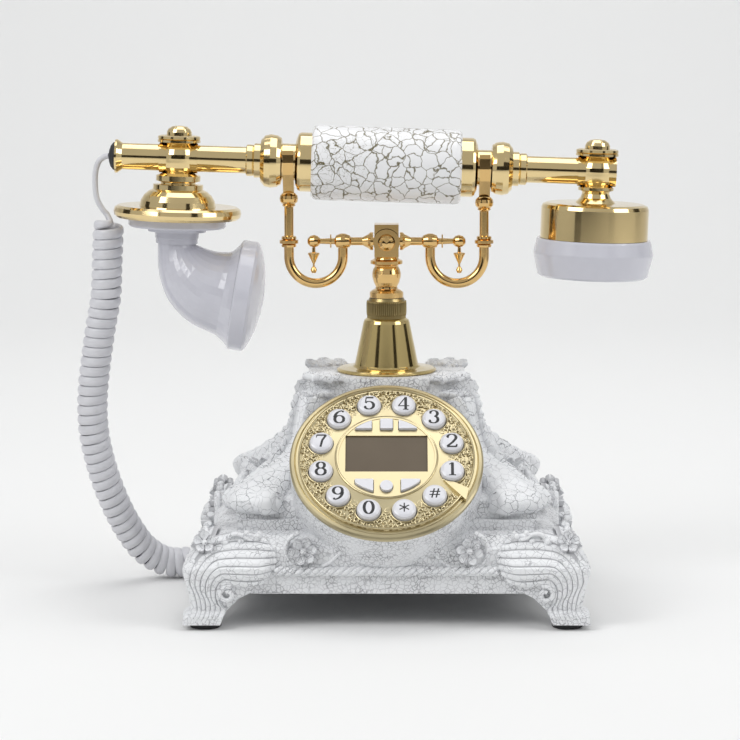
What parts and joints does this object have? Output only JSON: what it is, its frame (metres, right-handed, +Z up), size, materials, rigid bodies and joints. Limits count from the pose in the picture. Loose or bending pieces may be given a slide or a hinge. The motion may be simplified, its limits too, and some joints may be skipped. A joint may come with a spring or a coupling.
{
  "type": "ornate cradle telephone",
  "caption": "Ornate cradle telephone with crackle-glazed footed base, tilted round push-button dial, gold pillar and cradle, and a horn-mouthpiece handset on a curly cord.",
  "frame": {"origin": "on the surface that the feet stand on, under the middle of the phone without its cord", "axes": "+X along the handset from mouthpiece to receiver, -Y towards the user who faces the dial, +Z up"},
  "size_m": [0.289, 0.1898, 0.2356],
  "materials": {
    "crackle_resin": "glazed with a fine dark crackle",
    "pillar_gold": "polished",
    "cradle_gold": "polished, warm",
    "handset_gold": "polished, pale",
    "dial_gold": "satin, embossed",
    "knurled_brass": "knurled, dull",
    "white_plastic": "gloss",
    "key_plastic": "gloss",
    "black_rubber": "matt",
    "black_plastic": "matt",
    "circuit_board": "satin",
    "silicone_mat": "matt",
    "display_glass": "gloss, dark",
    "steel": "satin",
    "cord_grey": "satin",
    "clear_plug": "gloss"
  },
  "bodies": {
    "base": {"base_casting": "crackle_resin", "base_plate": "steel", "base_screws": "steel", "foot_pads": "black_rubber", "main_board": "circuit_board", "ringer": "black_plastic", "hook_switch": "black_plastic", "keypad_board": "circuit_board", "key_mat": "silicone_mat", "dial_plate": "dial_gold", "centre_panel": "dial_gold", "display": "display_glass", "finger_stop": "dial_gold", "pillar_flange": "pillar_gold", "pillar_cone": "pillar_gold", "knurled_collar": "knurled_brass", "line_jack": "white_plastic", "handset_jack": "white_plastic", "cord_curl": "cord_grey", "cord_tail": "cord_grey", "cord_plug": "clear_plug", "lift_spring": "steel"},
    "cradle": {"cradle_stem": "cradle_gold", "cross_rod": "cradle_gold", "drop_finials": "cradle_gold", "cradle_hooks": "cradle_gold", "handset_forks": "cradle_gold"},
    "handset": {"grip_sleeve": "crackle_resin", "spine_rod": "steel", "grip_ferrules": "handset_gold", "handset_tubes": "handset_gold", "tee_bosses": "handset_gold", "top_finials": "handset_gold", "mouthpiece_bell": "handset_gold", "horn_collar": "white_plastic", "mouthpiece_horn": "white_plastic", "mouth_cap": "white_plastic", "microphone": "black_plastic", "receiver_cup": "handset_gold", "ear_cap": "white_plastic", "receiver_capsule": "black_plastic", "cord_grommet": "black_rubber", "cord_lead": "cord_grey"},
    "key_1": {"key_1": "key_plastic"},
    "key_2": {"key_2": "key_plastic"},
    "key_3": {"key_3": "key_plastic"},
    "key_4": {"key_4": "key_plastic"},
    "key_5": {"key_5": "key_plastic"},
    "key_6": {"key_6": "key_plastic"},
    "key_7": {"key_7": "key_plastic"},
    "key_8": {"key_8": "key_plastic"},
    "key_9": {"key_9": "key_plastic"},
    "key_0": {"key_0": "key_plastic"},
    "key_star": {"key_star": "key_plastic"},
    "key_hash": {"key_hash": "key_plastic"},
    "key_top_left": {"key_top_left": "key_plastic"},
    "key_top_mid": {"key_top_mid": "key_plastic"},
    "key_top_right": {"key_top_right": "key_plastic"},
    "key_low_left": {"key_low_left": "key_plastic"},
    "key_low_mid": {"key_low_mid": "key_plastic"},
    "key_low_right": {"key_low_right": "key_plastic"}
  },
  "joints": [
    {"name": "cradle_slide", "type": "slide", "parent": "base", "child": "cradle", "axis": [0, 0, 1], "range_m": [0, 0.004], "stiffness_N_per_m": 120, "springref_m": 0.03, "deforming": ["lift_spring"]},
    {"name": "handset_lift", "type": "slide", "parent": "cradle", "child": "handset", "axis": [0, 0, 1], "range_m": [0, 0.08]},
    {"name": "key_1_press", "type": "slide", "parent": "base", "child": "key_1", "axis": [0, -0.6896, 0.7242], "range_m": [-0.0012, 0], "stiffness_N_per_m": 300, "springref_m": 0.0008},
    {"name": "key_2_press", "type": "slide", "parent": "base", "child": "key_2", "axis": [0, -0.6896, 0.7242], "range_m": [-0.0012, 0], "stiffness_N_per_m": 300, "springref_m": 0.0008},
    {"name": "key_3_press", "type": "slide", "parent": "base", "child": "key_3", "axis": [0, -0.6896, 0.7242], "range_m": [-0.0012, 0], "stiffness_N_per_m": 300, "springref_m": 0.0008},
    {"name": "key_4_press", "type": "slide", "parent": "base", "child": "key_4", "axis": [0, -0.6896, 0.7242], "range_m": [-0.0012, 0], "stiffness_N_per_m": 300, "springref_m": 0.0008},
    {"name": "key_5_press", "type": "slide", "parent": "base", "child": "key_5", "axis": [0, -0.6896, 0.7242], "range_m": [-0.0012, 0], "stiffness_N_per_m": 300, "springref_m": 0.0008},
    {"name": "key_6_press", "type": "slide", "parent": "base", "child": "key_6", "axis": [0, -0.6896, 0.7242], "range_m": [-0.0012, 0], "stiffness_N_per_m": 300, "springref_m": 0.0008},
    {"name": "key_7_press", "type": "slide", "parent": "base", "child": "key_7", "axis": [0, -0.6896, 0.7242], "range_m": [-0.0012, 0], "stiffness_N_per_m": 300, "springref_m": 0.0008},
    {"name": "key_8_press", "type": "slide", "parent": "base", "child": "key_8", "axis": [0, -0.6896, 0.7242], "range_m": [-0.0012, 0], "stiffness_N_per_m": 300, "springref_m": 0.0008},
    {"name": "key_9_press", "type": "slide", "parent": "base", "child": "key_9", "axis": [0, -0.6896, 0.7242], "range_m": [-0.0012, 0], "stiffness_N_per_m": 300, "springref_m": 0.0008},
    {"name": "key_0_press", "type": "slide", "parent": "base", "child": "key_0", "axis": [0, -0.6896, 0.7242], "range_m": [-0.0012, 0], "stiffness_N_per_m": 300, "springref_m": 0.0008},
    {"name": "key_star_press", "type": "slide", "parent": "base", "child": "key_star", "axis": [0, -0.6896, 0.7242], "range_m": [-0.0012, 0], "stiffness_N_per_m": 300, "springref_m": 0.0008},
    {"name": "key_hash_press", "type": "slide", "parent": "base", "child": "key_hash", "axis": [0, -0.6896, 0.7242], "range_m": [-0.0012, 0], "stiffness_N_per_m": 300, "springref_m": 0.0008},
    {"name": "key_top_left_press", "type": "slide", "parent": "base", "child": "key_top_left", "axis": [0, -0.6896, 0.7242], "range_m": [-0.001, 0], "stiffness_N_per_m": 200, "springref_m": 0.0008},
    {"name": "key_top_mid_press", "type": "slide", "parent": "base", "child": "key_top_mid", "axis": [0, -0.6896, 0.7242], "range_m": [-0.001, 0], "stiffness_N_per_m": 200, "springref_m": 0.0008},
    {"name": "key_top_right_press", "type": "slide", "parent": "base", "child": "key_top_right", "axis": [0, -0.6896, 0.7242], "range_m": [-0.001, 0], "stiffness_N_per_m": 200, "springref_m": 0.0008},
    {"name": "key_low_left_press", "type": "slide", "parent": "base", "child": "key_low_left", "axis": [0, -0.6896, 0.7242], "range_m": [-0.001, 0], "stiffness_N_per_m": 200, "springref_m": 0.0008},
    {"name": "key_low_mid_press", "type": "slide", "parent": "base", "child": "key_low_mid", "axis": [0, -0.6896, 0.7242], "range_m": [-0.001, 0], "stiffness_N_per_m": 200, "springref_m": 0.0008},
    {"name": "key_low_right_press", "type": "slide", "parent": "base", "child": "key_low_right", "axis": [0, -0.6896, 0.7242], "range_m": [-0.001, 0], "stiffness_N_per_m": 200, "springref_m": 0.0008}
  ]
}
